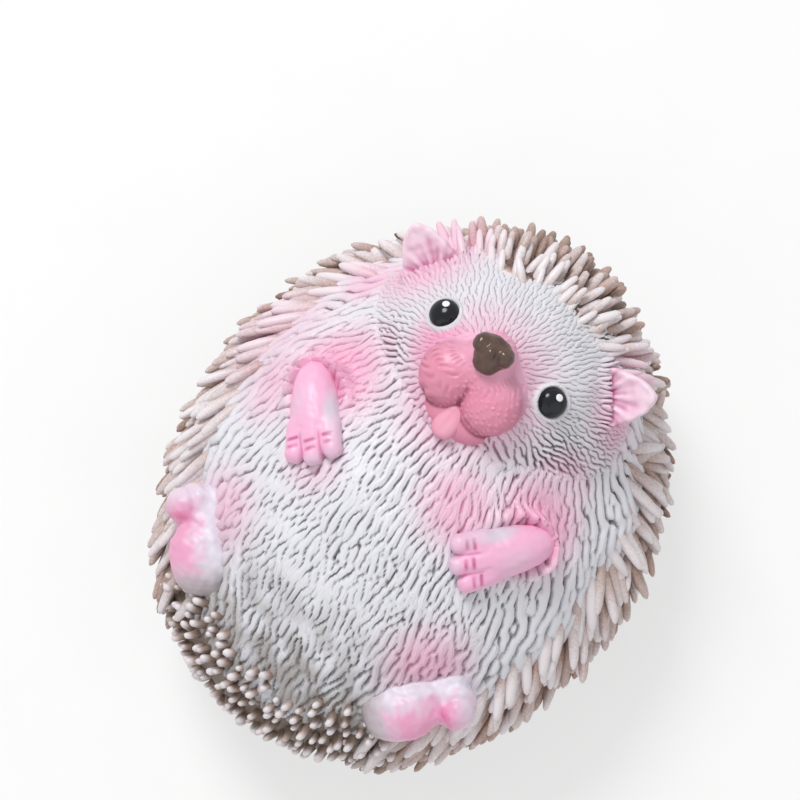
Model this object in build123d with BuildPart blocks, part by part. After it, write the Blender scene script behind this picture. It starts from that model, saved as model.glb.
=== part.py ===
from build123d import *
import os
from math import asin, atan2, cos, degrees, radians, sin, sqrt

# A soft moulded hedgehog figure that lies on its back with its belly up.
# +Z points up out of the belly, +Y to the crown of the head and +X to the animal's left side.
# The flat of the back rests on Z = 0 under the middle of the figure.
os.makedirs("parts", exist_ok=True)

# Body: skin panels wrapped round a soft filling
body_width = 87.0
body_length = 106.0
body_depth = 72.0
rest_flat = 5.0
skin_wall = 3.5
base_edge = 4.0
fur_line_share = 0.42

# Fits: the glue line between mouldings, the room round and past a peg, and how far a cutter runs past
seam_gap = 0.12
peg_fit = 0.15
peg_short = 0.9
overrun = 5.0

# Head, placed by shares of the body's half length and half depth
head_width = 56.0
head_length = 52.0
head_depth = 46.0
head_forward_share = 0.49
head_rise_share = 0.53
head_lean = 1.5
head_peg_radius = 5.0
head_peg_rise = 48.0

# Muzzle: two cheek lobes and a bridge up to the nose
muzzle_rise = 66.0
muzzle_lobe = (11.6, 12.8, 10.8)
muzzle_lobe_out = 4.9
muzzle_lobe_forward = 1.4
muzzle_lobe_up = 1.0
bridge_size = (9.8, 12.8, 9.6)
bridge_forward = 7.0
bridge_up = 1.4
muzzle_peg_radius = 3.0
muzzle_peg_depth = 4.0

# Nose and tongue, placed from the middle of the muzzle
nose_size = (8.6, 7.4, 6.6)
nose_forward = 9.8
nose_up = 6.0
nose_peg_radius = 1.4
nose_peg_depth = 5.0
tongue_size = (6.6, 6.4, 6.0)
tongue_back = 6.6
tongue_up = 1.8

# Eyes: glossy domes with a shank that plugs into the head
eye_width = 6.0
eye_dome = 2.2
eye_left_turn = -9.5
eye_left_rise = 60.4
eye_right_turn = -2.5
eye_right_rise = 62.8
eye_shank_radius = 1.4
eye_shank_depth = 3.0

# Ears: hollowed leaves standing out of the sides of the head
ear_width = 11.8
ear_length = 12.8
ear_thickness = 4.4
ear_turn = 21.0
ear_rise = 33.0
ear_heading = 28.0
ear_hollow_share = 0.7
ear_tang_radius = 1.6
ear_tang_depth = 3.0

# Front paws: a forearm laid on the belly with three fingers
arm_size = (20.0, 10.8, 8.6)
arm_turn = -7.8
arm_rise = 59.0
arm_heading = 148.0
arm_up = 1.4
finger_size = (8.4, 4.0, 4.4)
finger_pitch = 3.6
finger_count = 3
finger_reach = 6.8
finger_back = 1.0
arm_peg_radius = 2.6

# Hind feet: paddles standing out of the haunches, with four toes along the free end
foot_size = (17.0, 10.0, 13.4)
foot_turn = -48.4
foot_rise = 25.5
foot_heading = 6.0
foot_up = 1.4
foot_back = 2.6
toe_size = (7.4, 8.4, 4.8)
toe_count = 4
toe_pitch = 2.9
toe_reach = 8.0
toe_low = -2.4
foot_peg_radius = 2.8

# Spines: blunt four-sided rods in level rings, combed away from the head, with upright studs at rump and nape
spine_length = 9.6
stud_length = 7.2
spine_sunk = 1.0
spine_root_radius = 1.7
spine_tip_radius = 1.2
spine_pitch = 6.2
spine_stand = 0.9
stud_stand = 3.0
spine_floor = 2.2
spine_along_shares = (0, 0.5, 1)

# Crown: a spined panel on the back of the head
crown_wall = 1.6
crown_first_rise = 4.0
crown_rows = 6
crown_spine_length = 5.6
crown_pitch = 5.6
crown_stand = 1.0

# Plug that closes the filling hole in the flat of the back
plug_radius = 4.0
plug_flange_radius = 6.5
plug_flange = 1.3
plug_recess = 0.2

# Turns about Z, in degrees, where one spined panel of skin meets the next
rump_edge = -65.0
flank_back_edge = -22.0
flank_front_edge = 18.0
nape_edge = 65.0

body_half = (body_width / 2, body_length / 2, body_depth / 2)
body_frame = Plane(origin=(0, 0, body_half[2] - rest_flat))
fur_line = body_frame.origin.Z + fur_line_share * body_half[2]
head_half = (head_width / 2, head_length / 2, head_depth / 2)
head_middle = (0, head_forward_share * body_half[1], body_frame.origin.Z + head_rise_share * body_half[2])
head_frame = Plane(
    origin=head_middle,
    x_dir=(cos(radians(head_lean)), 0, sin(radians(head_lean))),
    z_dir=(-sin(radians(head_lean)), 0, cos(radians(head_lean))),
)


def halves(size):
    """Half sizes of a form given by its full sizes."""
    return tuple(length / 2 for length in size)


def grown(half, by):
    """Half sizes made larger all round by one length."""
    return tuple(length + by for length in half)


def placed(frame, half, at=(0, 0, 0)):
    """Solid ellipsoid set into a frame at a local point."""
    with BuildPart(mode=Mode.PRIVATE) as shape:
        Sphere(1)
        scale(by=half)
    return shape.part.moved(Location(at)).moved(frame.location)


def lumped(frame, lumps, by=0):
    """Several ellipsoids, given as (half sizes, local point), fused into one form and grown all round."""
    with BuildPart(mode=Mode.PRIVATE) as shape:
        for half, at in lumps:
            add(placed(frame, grown(half, by), at))
    return shape.part


def seat(frame, half, turn, rise, heading=0):
    """Plane on an ellipsoid: Z stands off its surface, X lies level and is then swung by the heading."""
    round_x = cos(radians(turn))
    round_y = sin(radians(turn))
    level = cos(radians(rise))
    point = Vector(half[0] * level * round_x, half[1] * level * round_y, half[2] * sin(radians(rise)))
    normal = Vector(point.X / half[0] ** 2, point.Y / half[1] ** 2, point.Z / half[2] ** 2)
    along = Vector(-half[0] * round_y, half[1] * round_x, 0)
    local = Plane(origin=point, x_dir=along, z_dir=normal).rotated((0, 0, heading))
    return Plane(frame.location * local.location)


def clear_of(point, frame, half):
    """True where a point and its mirror image both lie outside an ellipsoid."""
    for side in (point, Vector(-point.X, point.Y, point.Z)):
        local = frame.to_local_coords(side)
        if (local.X / half[0]) ** 2 + (local.Y / half[1]) ** 2 + (local.Z / half[2]) ** 2 < 1:
            return False
    return True


body_form = placed(body_frame, body_half)
body_hollow = placed(body_frame, grown(body_half, -skin_wall))
body_envelope = placed(body_frame, grown(body_half, seam_gap))
head_envelope = placed(head_frame, grown(head_half, seam_gap))

head_seat = seat(body_frame, body_half, 90, head_peg_rise)
muzzle_seat = seat(head_frame, head_half, -90, muzzle_rise)
eye_left_seat = seat(head_frame, head_half, eye_left_turn, eye_left_rise)
eye_right_seat = seat(head_frame, head_half, 180 - eye_right_turn, eye_right_rise)
ear_left_seat = seat(head_frame, head_half, ear_turn, ear_rise, ear_heading)
ear_right_seat = seat(head_frame, head_half, 180 - ear_turn, ear_rise, -ear_heading)
arm_seat = seat(body_frame, body_half, arm_turn, arm_rise, arm_heading)
foot_seat = seat(body_frame, body_half, foot_turn, foot_rise, foot_heading)

muzzle_lumps = [
    (halves(muzzle_lobe), (muzzle_lobe_out, muzzle_lobe_forward, muzzle_lobe_up)),
    (halves(muzzle_lobe), (-muzzle_lobe_out, muzzle_lobe_forward, muzzle_lobe_up)),
    (halves(bridge_size), (0, bridge_forward, bridge_up)),
]
nose_frame = Plane(muzzle_seat.location * Location((0, nose_forward, nose_up)))

# The whole skin, flattened where it rests, before it is parted into panels
with BuildPart() as hollow:
    add(body_hollow)
    split(bisect_by=Plane.XY.offset(skin_wall))
with BuildPart() as skin:
    add(body_form)
    split(bisect_by=Plane.XY)
    add(hollow.part, mode=Mode.SUBTRACT)

# Filling: a soft core just clear of the skin
with BuildPart() as filling:
    add(placed(body_frame, grown(body_half, -skin_wall - seam_gap)))
    split(bisect_by=Plane.XY.offset(skin_wall + seam_gap))

# Base: the flat of the back, with a stepped hole for the plug
with BuildPart() as back_base:
    add(skin.part)
    split(bisect_by=Plane.XY.offset(base_edge), keep=Keep.BOTTOM)
    with BuildSketch(Plane.XY):
        Circle(plug_radius + peg_fit)
    extrude(amount=skin_wall + overrun, mode=Mode.SUBTRACT)
    with BuildSketch(Plane.XY):
        Circle(plug_flange_radius + peg_fit)
    extrude(amount=plug_flange + plug_recess, mode=Mode.SUBTRACT)

# Plug: a flanged button pushed in from outside, a little below the rest face
with BuildPart() as filling_plug:
    with BuildSketch(Plane.XY.offset(plug_recess)):
        Circle(plug_flange_radius)
    extrude(amount=plug_flange)
    with BuildSketch(Plane.XY.offset(plug_recess + plug_flange)):
        Circle(plug_radius)
    extrude(amount=skin_wall - plug_flange - plug_recess)

# Belly: the furred front of the skin, bored for the head and arm pegs and half bored for the foot pegs
with BuildPart() as belly_skin:
    add(skin.part)
    split(bisect_by=Plane.XY.offset(fur_line))
    with BuildSketch(head_seat.offset(-skin_wall - overrun)):
        Circle(head_peg_radius + peg_fit)
    extrude(amount=skin_wall + overrun * 2, mode=Mode.SUBTRACT)
    with BuildSketch(arm_seat.offset(-skin_wall - overrun)):
        Circle(arm_peg_radius + peg_fit)
    arm_bore = extrude(amount=skin_wall + overrun * 2, mode=Mode.SUBTRACT)
    mirror(arm_bore, about=Plane.YZ, mode=Mode.SUBTRACT)
    with BuildSketch(foot_seat.offset(-skin_wall - overrun)):
        Circle(foot_peg_radius + peg_fit)
    foot_bore = extrude(amount=skin_wall + overrun * 2, mode=Mode.SUBTRACT)
    mirror(foot_bore, about=Plane.YZ, mode=Mode.SUBTRACT)

# Head: sits on the belly skin and is pegged through it, bored for eyes, ears and muzzle
with BuildPart() as head:
    add(placed(head_frame, head_half))
    add(body_envelope, mode=Mode.SUBTRACT)
    with BuildSketch(head_seat.offset(peg_short - skin_wall)):
        Circle(head_peg_radius)
    extrude(amount=skin_wall + overrun)
    with BuildSketch(eye_left_seat.offset(-eye_shank_depth), eye_right_seat.offset(-eye_shank_depth)):
        Circle(eye_shank_radius + peg_fit)
    extrude(amount=eye_shank_depth + overrun, mode=Mode.SUBTRACT)
    with BuildSketch(ear_left_seat.offset(-ear_tang_depth), ear_right_seat.offset(-ear_tang_depth)):
        Circle(ear_tang_radius + peg_fit)
    extrude(amount=ear_tang_depth + overrun, mode=Mode.SUBTRACT)
    with BuildSketch(muzzle_seat.offset(-muzzle_peg_depth)):
        Circle(muzzle_peg_radius + peg_fit)
    extrude(amount=muzzle_peg_depth + overrun, mode=Mode.SUBTRACT)

# Muzzle: cheek lobes and bridge with a peg into the head and a hole for the nose
with BuildPart() as muzzle:
    add(lumped(muzzle_seat, muzzle_lumps))
    add(head_envelope, mode=Mode.SUBTRACT)
    with BuildSketch(muzzle_seat.offset(-muzzle_peg_depth)):
        Circle(muzzle_peg_radius)
    extrude(amount=muzzle_peg_depth + muzzle_lobe_up)
    with BuildSketch(nose_frame.offset(-nose_peg_depth)):
        Circle(nose_peg_radius + peg_fit)
    extrude(amount=nose_peg_depth + overrun, mode=Mode.SUBTRACT)

# Nose: a glossy button on the bridge
with BuildPart() as nose:
    add(placed(nose_frame, halves(nose_size)))
    add(lumped(muzzle_seat, muzzle_lumps, seam_gap), mode=Mode.SUBTRACT)
    add(head_envelope, mode=Mode.SUBTRACT)
    with BuildSketch(nose_frame.offset(peg_fit - nose_peg_depth)):
        Circle(nose_peg_radius)
    extrude(amount=nose_peg_depth + nose_size[2] / 4)

# Tongue: tucked under the lobes and bonded to the chin
with BuildPart() as tongue:
    add(placed(muzzle_seat, halves(tongue_size), (0, -tongue_back, tongue_up)))
    add(lumped(muzzle_seat, muzzle_lumps, seam_gap), mode=Mode.SUBTRACT)
    add(head_envelope, mode=Mode.SUBTRACT)
    add(body_envelope, mode=Mode.SUBTRACT)

# Eyes: domes seated on the head with shanks in its bores
eye_half = (eye_width / 2, eye_width / 2, eye_dome)
with BuildPart() as eye_left:
    add(placed(eye_left_seat, eye_half))
    add(head_envelope, mode=Mode.SUBTRACT)
    with BuildSketch(eye_left_seat.offset(-eye_shank_depth)):
        Circle(eye_shank_radius)
    extrude(amount=eye_shank_depth + eye_dome / 2)
with BuildPart() as eye_right:
    add(placed(eye_right_seat, eye_half))
    add(head_envelope, mode=Mode.SUBTRACT)
    with BuildSketch(eye_right_seat.offset(-eye_shank_depth)):
        Circle(eye_shank_radius)
    extrude(amount=eye_shank_depth + eye_dome / 2)

# Ears: leaves hollowed on the side that faces up, each with a tang in the head
ear_half = (ear_width / 2, ear_thickness / 2, ear_length / 2)
ear_middle = (0, 0, ear_length / 2 - ear_thickness / 2)
ear_hollow = tuple(length * ear_hollow_share for length in ear_half)
ear_hollow_at = (0, ear_thickness / 2, ear_middle[2])
with BuildPart() as ear_left:
    add(placed(ear_left_seat, ear_half, ear_middle))
    add(placed(ear_left_seat, ear_hollow, ear_hollow_at), mode=Mode.SUBTRACT)
    add(head_envelope, mode=Mode.SUBTRACT)
    with BuildSketch(ear_left_seat.offset(-ear_tang_depth)):
        Circle(ear_tang_radius)
    extrude(amount=ear_tang_depth + ear_thickness / 2)
with BuildPart() as ear_right:
    add(placed(ear_right_seat, ear_half, ear_middle))
    add(placed(ear_right_seat, ear_hollow, ear_hollow_at), mode=Mode.SUBTRACT)
    add(head_envelope, mode=Mode.SUBTRACT)
    with BuildSketch(ear_right_seat.offset(-ear_tang_depth)):
        Circle(ear_tang_radius)
    extrude(amount=ear_tang_depth + ear_thickness / 2)

# Front paws: forearm and fingers side by side, cut to sit on the belly, with a peg through the skin
arm_half = halves(arm_size)
fingers = []
for finger in range(finger_count):
    aside = finger - (finger_count - 1) / 2
    finger_at = (finger_reach - finger_back * abs(aside), finger_pitch * aside, arm_up)
    fingers.append(placed(arm_seat, halves(finger_size), finger_at))
with BuildPart() as front_paw_left:
    add(placed(arm_seat, arm_half, (0, 0, arm_up)))
    add(fingers)
    add(body_envelope, mode=Mode.SUBTRACT)
    add(head_envelope, mode=Mode.SUBTRACT)
    with BuildSketch(arm_seat.offset(peg_short - skin_wall)):
        Circle(arm_peg_radius)
    extrude(amount=skin_wall + arm_up)
with BuildPart() as front_paw_right:
    mirror(front_paw_left.part, about=Plane.YZ)

# Hind feet: paddles with a row of toes, cut to sit on the skin and pegged where the belly meets the haunch
foot_half = halves(foot_size)
toes = []
for toe in range(toe_count):
    toes.append(placed(foot_seat, halves(toe_size), (toe_reach, 0, toe_low + toe * toe_pitch)))
with BuildPart() as hind_foot_left:
    add(placed(foot_seat, foot_half, (-foot_back, 0, foot_up)))
    add(toes)
    add(body_envelope, mode=Mode.SUBTRACT)
    with BuildSketch(foot_seat.offset(peg_short - skin_wall)):
        Circle(foot_peg_radius)
    extrude(amount=skin_wall + foot_up)
with BuildPart() as hind_foot_right:
    mirror(hind_foot_left.part, about=Plane.YZ)


def spine_rod(length):
    """One spine standing on its root plane, sunk a little so it fuses into the skin."""
    with BuildPart(mode=Mode.PRIVATE) as rod:
        with BuildSketch(Plane.XY.offset(-spine_sunk)):
            RegularPolygon(spine_root_radius, 4)
        with BuildSketch(Plane.XY.offset(length)):
            RegularPolygon(spine_tip_radius, 4)
        loft()
    return rod.part


def spine_plane(frame, half, turn, rise, comb_from, stand, length):
    """Plane of one spine: rooted on the skin, combed away from a point and held clear of the ground."""
    root = seat(frame, half, turn, rise)
    away = root.origin - comb_from
    combed = (away - root.z_dir * away.dot(root.z_dir)).normalized()
    aim = (root.z_dir * stand + combed).normalized()
    outward = Vector(aim.X, aim.Y, 0).normalized()
    climb = max(aim.Z, (spine_floor - root.origin.Z) / length)
    return Plane(
        origin=root.origin,
        x_dir=root.z_dir.cross(combed),
        z_dir=outward * sqrt(1 - climb**2) + Vector(0, 0, climb),
    )


def ring_turns(half, rise, first, last, pitch, staggered):
    """Turns of the spines in one ring between two edges, half a pitch or more in from each."""
    middle = radians(first + last) / 2
    radius = cos(radians(rise)) * sqrt((half[0] * sin(middle)) ** 2 + (half[1] * cos(middle)) ** 2)
    count = max(1, round(radius * radians(last - first) / pitch))
    step = (last - first) / count
    if staggered:
        return [first + step * (spine + 1) for spine in range(count - 1)]
    return [first + step * (spine + 0.5) for spine in range(count)]


def form_turn(azimuth):
    """Turn on the body form that lies under a turn about Z."""
    return degrees(atan2(sin(radians(azimuth)) / body_half[1], cos(radians(azimuth)) / body_half[0]))


def panel_block(first, last):
    """Wedge of space, set in by half a glue line, that one spined panel fills."""
    reach = body_length
    with BuildPart(mode=Mode.PRIVATE) as block:
        with BuildSketch(Plane.XY.offset(base_edge + seam_gap)):
            with BuildLine():
                corners = [(0, 0)]
                for azimuth in (first, (first + last) / 2, last):
                    corners.append((reach * cos(radians(azimuth)), reach * sin(radians(azimuth))))
                Polyline(*corners, close=True)
            make_face()
            offset(amount=-seam_gap / 2, mode=Mode.REPLACE)
        extrude(amount=fur_line - base_edge - seam_gap * 2)
    return block.part


def panel_spines(first, last, stand, length):
    """Spine planes of one panel, leaving out those that would meet the head, an ear or a foot."""
    lowest = degrees(asin((base_edge - body_frame.origin.Z) / body_half[2]))
    highest = degrees(asin(fur_line_share))
    rows = round(radians(highest - lowest) * (body_half[0] + body_half[2]) / 2 / spine_pitch)
    row_step = (highest - lowest) / rows
    kept = []
    for row in range(rows):
        rise = lowest + row_step * (row + 0.5)
        turns = ring_turns(body_half, rise, form_turn(first), form_turn(last), spine_pitch, row % 2 == 1)
        for turn in turns:
            plane = spine_plane(body_frame, body_half, turn, rise, head_frame.origin, stand, length)
            points = [plane.origin + plane.z_dir * length * share for share in spine_along_shares]
            if all(clear_of(point, frame, half) for point in points for frame, half in keep_clear):
                kept.append(plane)
    return kept


# Spaces the body spines keep out of: the head with its crown panel, the ears and the feet
foot_space = (toe_reach + toe_size[0] / 2, foot_half[1], foot_half[2])
ear_clear = (Plane(ear_left_seat.location * Location(ear_middle)), grown(ear_half, spine_root_radius))
keep_clear = [
    (head_frame, grown(head_half, crown_wall + spine_root_radius)),
    (Plane(foot_seat.location * Location((0, 0, foot_up))), grown(foot_space, spine_root_radius)),
    ear_clear,
]
body_spine = spine_rod(spine_length)
body_stud = spine_rod(stud_length)

# Spined panels of skin, from the nape round one side to the rump; the other side is a mirror image
with BuildPart() as nape_spines:
    add(skin.part)
    add(panel_block(nape_edge, 180 - nape_edge), mode=Mode.INTERSECT)
    with Locations(*panel_spines(nape_edge, 180 - nape_edge, stud_stand, stud_length)):
        add(body_stud)
with BuildPart() as left_shoulder_spines:
    add(skin.part)
    add(panel_block(flank_front_edge, nape_edge), mode=Mode.INTERSECT)
    with Locations(*panel_spines(flank_front_edge, nape_edge, spine_stand, spine_length)):
        add(body_spine)
with BuildPart() as left_flank_spines:
    add(skin.part)
    add(panel_block(flank_back_edge, flank_front_edge), mode=Mode.INTERSECT)
    with Locations(*panel_spines(flank_back_edge, flank_front_edge, spine_stand, spine_length)):
        add(body_spine)
with BuildPart() as left_haunch_spines:
    add(skin.part)
    add(panel_block(rump_edge, flank_back_edge), mode=Mode.INTERSECT)
    with Locations(*panel_spines(rump_edge, flank_back_edge, spine_stand, spine_length)):
        add(body_spine)
    with BuildSketch(foot_seat.offset(-skin_wall - overrun)):
        Circle(foot_peg_radius + peg_fit)
    extrude(amount=skin_wall + overrun * 2, mode=Mode.SUBTRACT)
with BuildPart() as rump_spines:
    add(skin.part)
    add(panel_block(-180 - rump_edge, rump_edge), mode=Mode.INTERSECT)
    with Locations(*panel_spines(-180 - rump_edge, rump_edge, stud_stand, stud_length)):
        add(body_stud)
with BuildPart() as right_shoulder_spines:
    mirror(left_shoulder_spines.part, about=Plane.YZ)
with BuildPart() as right_flank_spines:
    mirror(left_flank_spines.part, about=Plane.YZ)
with BuildPart() as right_haunch_spines:
    mirror(left_haunch_spines.part, about=Plane.YZ)

# Crown: a spined cap on the back of the head, starting just behind the ears
crown_start = ear_clear[0].origin.Y + ear_width / 2 + seam_gap
crown_half = grown(head_half, crown_wall)
crown_planes = []
crown_step = (90 - crown_first_rise) / (crown_rows + 1)
for row in range(crown_rows):
    crown_rise = crown_first_rise + crown_step * row
    for crown_turn in ring_turns(crown_half, crown_rise, 0, 180, crown_pitch, row % 2 == 1):
        plane = spine_plane(
            head_frame, crown_half, crown_turn, crown_rise, muzzle_seat.origin, crown_stand, crown_spine_length
        )
        points = [plane.origin + plane.z_dir * crown_spine_length * share for share in spine_along_shares]
        rooted = clear_of(plane.origin, body_frame, grown(body_half, spine_root_radius))
        behind = plane.origin.Y > crown_start + spine_root_radius
        if rooted and behind and all(clear_of(point, *ear_clear) for point in points):
            crown_planes.append(plane)
with BuildPart() as crown_spines:
    add(placed(head_frame, crown_half))
    split(bisect_by=Plane.XZ.offset(-crown_start), keep=Keep.BOTTOM)
    with Locations(*crown_planes):
        add(spine_rod(crown_spine_length))
    add(head_envelope, mode=Mode.SUBTRACT)
    add(body_envelope, mode=Mode.SUBTRACT)

pieces = {
    "filling": filling,
    "back_base": back_base,
    "filling_plug": filling_plug,
    "belly_skin": belly_skin,
    "head": head,
    "muzzle": muzzle,
    "nose": nose,
    "tongue": tongue,
    "eye_left": eye_left,
    "eye_right": eye_right,
    "ear_left": ear_left,
    "ear_right": ear_right,
    "front_paw_left": front_paw_left,
    "front_paw_right": front_paw_right,
    "hind_foot_left": hind_foot_left,
    "hind_foot_right": hind_foot_right,
    "crown_spines": crown_spines,
    "nape_spines": nape_spines,
    "left_shoulder_spines": left_shoulder_spines,
    "right_shoulder_spines": right_shoulder_spines,
    "left_flank_spines": left_flank_spines,
    "right_flank_spines": right_flank_spines,
    "left_haunch_spines": left_haunch_spines,
    "right_haunch_spines": right_haunch_spines,
    "rump_spines": rump_spines,
}
for name, piece in pieces.items():
    piece.part.label = name
    export_step(piece.part, f"parts/{name}.step")
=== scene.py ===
from collections import namedtuple
from math import cos, pi, radians, sin

import bpy
import numpy as np
import openvdb
from mathutils import Matrix, Vector


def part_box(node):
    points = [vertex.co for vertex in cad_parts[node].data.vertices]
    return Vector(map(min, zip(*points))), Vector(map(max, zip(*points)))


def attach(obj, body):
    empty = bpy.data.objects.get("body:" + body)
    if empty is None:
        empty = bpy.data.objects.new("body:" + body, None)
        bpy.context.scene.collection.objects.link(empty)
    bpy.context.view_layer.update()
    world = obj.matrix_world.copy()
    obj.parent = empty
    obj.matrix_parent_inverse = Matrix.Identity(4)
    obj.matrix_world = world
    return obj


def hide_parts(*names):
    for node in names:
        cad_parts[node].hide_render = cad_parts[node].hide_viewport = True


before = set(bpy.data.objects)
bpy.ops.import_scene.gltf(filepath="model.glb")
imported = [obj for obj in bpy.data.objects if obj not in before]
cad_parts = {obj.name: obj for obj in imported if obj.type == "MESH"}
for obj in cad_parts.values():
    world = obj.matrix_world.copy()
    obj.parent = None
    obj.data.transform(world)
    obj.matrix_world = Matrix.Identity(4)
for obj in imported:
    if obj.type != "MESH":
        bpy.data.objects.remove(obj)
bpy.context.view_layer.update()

# Camera. It looks almost straight down on the belly, from a little towards the feet and the left side of the
# animal, and is rolled so that the head points up and to the right of the picture.
mm = 0.001
picture = 800
focal_pixels = 2020
view_distance = 420 * mm
lean_to_left = sin(radians(4))
lean_to_feet = sin(radians(8))
roll = radians(36.9)
figure_middle = Vector((0, 0, 31 * mm))
middle_column, middle_row = 415, 492
middle_right = (middle_column - picture / 2) / focal_pixels
middle_down = (middle_row - picture / 2) / focal_pixels

camera_back = Vector((lean_to_left, -lean_to_feet, (1 - lean_to_left**2 - lean_to_feet**2) ** 0.5))
camera_right = Vector((-sin(roll), cos(roll), 0)).cross(camera_back).normalized()
camera_up = camera_back.cross(camera_right)
swung_back = (camera_back + camera_right * middle_right - camera_up * middle_down).normalized()
swung_right = camera_up.cross(swung_back).normalized()
camera_turn = Matrix((swung_right, swung_back.cross(swung_right), swung_back)).transposed().to_4x4()
camera_data = bpy.data.cameras.new("camera")
camera_data.lens = focal_pixels / picture * camera_data.sensor_width
camera = bpy.data.objects.new("camera", camera_data)
camera.matrix_world = Matrix.Translation(figure_middle + camera_back * view_distance) @ camera_turn
bpy.context.collection.objects.link(camera)
bpy.context.scene.camera = camera

# Studio. A pale sweep of floor under the figure, with one broad soft lamp over the head's right side,
# weaker ones opposite and in front, and an even white surround that fills the shadows.
floor_size = 6.0
shadow_edge, white_edge, least_white = 0.08, 0.4, 0.6
surround_light, surround_shown = 0.4, 1.0
lamp_reach = 0.75
# Each lamp's direction from the figure, its width in metres and its power in watts.
lamps = {
    "key_lamp": ((-0.6, 0.3, 1.0), 0.3, 3.6),
    "fill_lamp": ((0.9, -0.2, 0.6), 0.9, 1.0),
    "front_lamp": ((0.1, -1.0, 0.5), 0.9, 1.0),
}


def add_node(tree, kind, inputs=None, **settings):
    """Adds a shader node, with its settings, and with each input linked to a socket or set to a value."""
    made = tree.nodes.new(kind)
    for setting, value in settings.items():
        setattr(made, setting, value)
    for socket, value in (inputs or {}).items():
        if isinstance(value, bpy.types.NodeSocket):
            tree.links.new(value, made.inputs[socket])
        else:
            made.inputs[socket].default_value = value
    return made


def paint(code):
    """Linear colour of an sRGB hex code."""
    levels = [int(code[place : place + 2], 16) / 255 for place in (0, 2, 4)]
    return [v / 12.92 if v <= 0.04045 else ((v + 0.055) / 1.055) ** 2.4 for v in levels] + [1.0]


def new_material(title):
    """An empty node material and its tree."""
    material = bpy.data.materials.new(title)
    material.use_nodes = True
    material.node_tree.nodes.clear()
    return material, material.node_tree


def background_rays(tree):
    """One for rays that show the background: straight from the camera, mirrored or seen through."""
    ray = add_node(tree, "ShaderNodeLightPath").outputs
    direct = add_node(
        tree, "ShaderNodeMath", {0: ray["Is Camera Ray"], 1: ray["Is Glossy Ray"]}, operation="MAXIMUM"
    )
    return add_node(
        tree, "ShaderNodeMath", {0: direct.outputs[0], 1: ray["Is Transmission Ray"]}, operation="MAXIMUM"
    ).outputs[0]


# White studio paper: even and matt, with a faint fleck every 3.3 mm, drawn coarse so that it shows at all.
# Near the figure a soft shadow lies on it, and further off the sheet fades into the white surround.
paper_fleck = 10 / 3 * mm
studio_paper, tree = new_material("studio_paper")
grain = add_node(tree, "ShaderNodeTexNoise", {"Scale": 1 / paper_fleck, "Detail": 2.0})
sheet = add_node(
    tree, "ShaderNodeMix", {0: grain.outputs["Fac"], 6: paint("F4F4F4"), 7: paint("FBFBFB")}, data_type="RGBA"
)
matt = add_node(tree, "ShaderNodeBsdfDiffuse", {"Color": sheet.outputs[2]})
plain = add_node(tree, "ShaderNodeEmission", {"Color": paint("FFFFFF"), "Strength": 1.0})
spot = add_node(tree, "ShaderNodeNewGeometry").outputs["Position"]
reach = add_node(tree, "ShaderNodeVectorMath", {0: spot}, operation="LENGTH").outputs["Value"]
white = add_node(
    tree,
    "ShaderNodeMapRange",
    {"Value": reach, "From Min": shadow_edge, "From Max": white_edge, "To Min": least_white, "To Max": 1.0},
)
seen = add_node(tree, "ShaderNodeMath", {0: background_rays(tree), 1: white.outputs[0]}, operation="MULTIPLY")
both = add_node(tree, "ShaderNodeMixShader", {0: seen.outputs[0], 1: matt.outputs[0], 2: plain.outputs[0]})
add_node(tree, "ShaderNodeOutputMaterial", {"Surface": both.outputs[0]})

floor_mesh = bpy.data.meshes.new("floor")
half_floor = floor_size / 2
floor_corners = [(-1, -1), (1, -1), (1, 1), (-1, 1)]
floor_mesh.from_pydata([(x * half_floor, y * half_floor, 0) for x, y in floor_corners], [], [(0, 1, 2, 3)])
floor_mesh.materials.append(studio_paper)
floor = bpy.data.objects.new("floor", floor_mesh)
bpy.context.collection.objects.link(floor)

for lamp_name, (direction, width, power) in lamps.items():
    lamp_data = bpy.data.lights.new(lamp_name, "AREA")
    lamp_data.shape = "DISK"
    lamp_data.size = width
    lamp_data.energy = power
    lamp = bpy.data.objects.new(lamp_name, lamp_data)
    towards = Vector(direction).normalized()
    lamp.location = figure_middle + towards * lamp_reach
    lamp.rotation_euler = towards.to_track_quat("Z", "Y").to_euler()
    bpy.context.collection.objects.link(lamp)

world = bpy.data.worlds.new("white_surround")
bpy.context.scene.world = world
world.use_nodes = True
world.node_tree.nodes.clear()
bright = add_node(
    world.node_tree,
    "ShaderNodeMapRange",
    {"Value": background_rays(world.node_tree), "To Min": surround_light, "To Max": surround_shown},
)
surround = add_node(
    world.node_tree, "ShaderNodeBackground", {"Color": paint("FFFFFF"), "Strength": bright.outputs[0]}
)
add_node(world.node_tree, "ShaderNodeOutputWorld", {"Surface": surround.outputs[0]})
bpy.context.scene.view_settings.view_transform = "Standard"

# Belly. The furred front of a soft vinyl skin, cast in one with its hair: wavy locks about a millimetre wide
# that run from the chin to the tail. It is airbrushed pale grey, with pink round the paws and feet.
# A form is an ellipsoid, or a seat for a piece: its middle, half sizes and axes, in millimetres.
Form = namedtuple("Form", "centre half axes")
skin_wall = 3.62
body_depth = 36.0
filling_low, filling_high = (np.array(corner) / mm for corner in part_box("filling"))
body_half = (filling_high - filling_low) / 2 + skin_wall
body_half[2] = body_depth
body = Form(np.array([0, 0, filling_high[2] + skin_wall - body_depth]), body_half, np.eye(3))
head_half = np.array([28.0, 26.0, 23.0])
head_lean = radians(1.5)
head_axes = np.array(
    [[cos(head_lean), 0, -sin(head_lean)], [0, 1, 0], [sin(head_lean), 0, cos(head_lean)]]
)
head_middle = body.centre + body.half * [0, 0.49, 0.53]
head = Form(head_middle, head_half, head_axes)

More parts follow.
